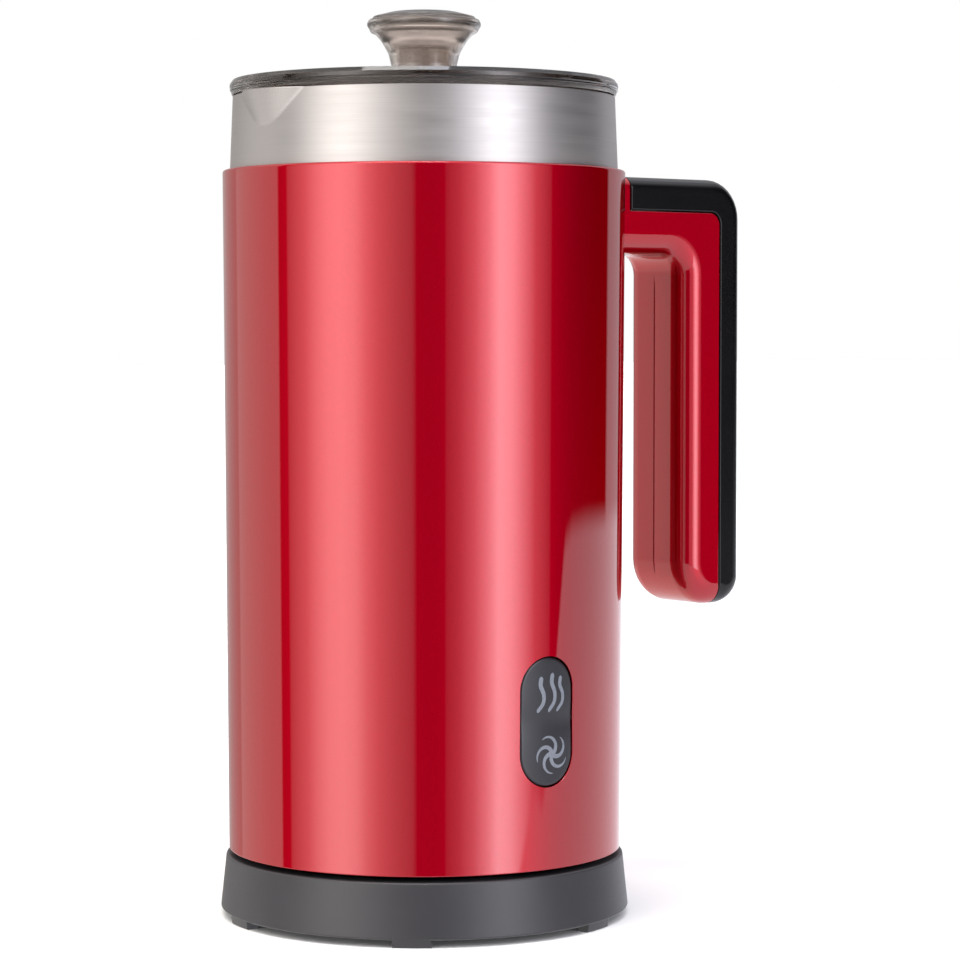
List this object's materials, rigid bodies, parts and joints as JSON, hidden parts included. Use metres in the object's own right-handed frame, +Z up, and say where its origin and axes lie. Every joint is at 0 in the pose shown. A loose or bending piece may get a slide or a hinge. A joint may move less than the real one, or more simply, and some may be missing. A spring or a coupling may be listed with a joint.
{
  "type": "electric milk frothing pitcher",
  "caption": "Tall electric milk frothing jug with a side handle, clear lid, rocker button, magnetic whisk and a round cordless power base.",
  "frame": {"origin": "middle of the whole object's footprint on the table, between the power base's far side and the handle's back; the jug's own axis is vertical and stands 24.5 mm from it towards -X", "axes": "+Z up along the jug's axis, +X the way the handle points, -X the pouring lip, -Y the button panel"},
  "size_m": [0.159, 0.11, 0.2421],
  "materials": {
    "red_lacquer": "metallic red lacquer under a clear gloss coat",
    "base_plastic": "satin charcoal moulded plastic",
    "black_plastic": "semi-gloss black moulded plastic",
    "button_plastic": "fine satin charcoal plastic with pale grey symbols",
    "brushed_steel": "stainless steel brushed round the axis",
    "smoke_plastic": "clear smoke-tinted glossy plastic",
    "silicone": "matt translucent silicone",
    "zinc_steel": "zinc-plated steel",
    "contact_brass": "bright brass",
    "cast_aluminium": "cast aluminium",
    "magnet_nickel": "nickel plating",
    "circuit_green": "green solder mask",
    "white_plastic": "plain white moulded plastic",
    "wire_sleeve": "woven glass-fibre sleeve"
  },
  "bodies": {
    "power_base": {"base_shell": "base_plastic", "base_plate": "black_plastic", "base_connector": "black_plastic", "contact_ring": "contact_brass", "contact_pin": "contact_brass", "cord_gland": "black_plastic", "base_screw_1": "zinc_steel", "base_screw_2": "zinc_steel", "base_screw_3": "zinc_steel"},
    "connector": {"jug_connector": "black_plastic"},
    "jug": {"outer_shell": "red_lacquer", "pot": "brushed_steel", "pot_spindle": "brushed_steel", "jug_bottom_cover": "black_plastic", "cover_screw_1": "zinc_steel", "cover_screw_2": "zinc_steel", "cover_screw_3": "zinc_steel", "bracket_screw_1": "zinc_steel", "bracket_screw_2": "zinc_steel", "bracket_screw_3": "zinc_steel", "motor_bracket": "zinc_steel", "motor_can": "zinc_steel", "motor_screw_1": "zinc_steel", "motor_screw_2": "zinc_steel", "heat_spreader": "cast_aluminium", "heater_element": "cast_aluminium", "thermostat": "white_plastic", "temperature_sensor": "contact_brass", "thermal_fuse": "white_plastic", "heater_lead_1": "wire_sleeve", "heater_lead_2": "wire_sleeve", "control_board": "circuit_green", "relay": "white_plastic", "terminal_block": "white_plastic", "capacitor": "black_plastic", "button_housing": "black_plastic", "switch_board": "circuit_green", "heat_switch": "black_plastic", "froth_switch": "black_plastic", "rocker_pin": "zinc_steel", "handle_body": "red_lacquer", "handle_back": "black_plastic", "handle_plate": "zinc_steel", "handle_screw_1": "zinc_steel", "handle_screw_2": "zinc_steel"},
    "button": {"button_rocker": "button_plastic"},
    "lid": {"lid_cover": "smoke_plastic", "lid_seal": "silicone", "lid_knob": "smoke_plastic"},
    "whisk_bush": {"whisk_bush": "white_plastic"},
    "whisk": {"whisk_frame": "black_plastic", "whisk_cap": "black_plastic", "whisk_coil": "brushed_steel", "whisk_magnet_1": "magnet_nickel", "whisk_magnet_2": "magnet_nickel"},
    "rotor": {"motor_shaft": "zinc_steel", "magnet_carrier": "white_plastic", "drive_magnet_1": "magnet_nickel", "drive_magnet_2": "magnet_nickel"}
  },
  "joints": [
    {"name": "jug_lift", "type": "slide", "parent": "power_base", "child": "connector", "axis": [0, 0, 1], "range_m": [0, 0.05]},
    {"name": "jug_swivel", "type": "hinge", "parent": "connector", "child": "jug", "pos_m": [-0.0245, 0, 0.02], "axis": [0, 0, 1], "continuous": true},
    {"name": "lid_lift", "type": "slide", "parent": "jug", "child": "lid", "axis": [0, 0, 1], "range_m": [0, 0.05]},
    {"name": "button_rock", "type": "hinge", "parent": "jug", "child": "button", "pos_m": [-0.0245, -0.0475, 0.0562], "axis": [1, 0, 0], "range_deg": [-2.5, 2.5], "stiffness_Nm_per_rad": 0.4},
    {"name": "whisk_lift", "type": "slide", "parent": "jug", "child": "whisk_bush", "axis": [0, 0, 1], "range_m": [0, 0.1]},
    {"name": "whisk_spin", "type": "hinge", "parent": "whisk_bush", "child": "whisk", "pos_m": [-0.0245, 0, 0.0844], "axis": [0, 0, 1], "continuous": true},
    {"name": "rotor_spin", "type": "hinge", "parent": "jug", "child": "rotor", "pos_m": [-0.0245, 0, 0.06], "axis": [0, 0, 1], "continuous": true}
  ],
  "couplings": [
    {"joint": "whisk_spin", "follows": "rotor_spin", "ratio": 1}
  ]
}
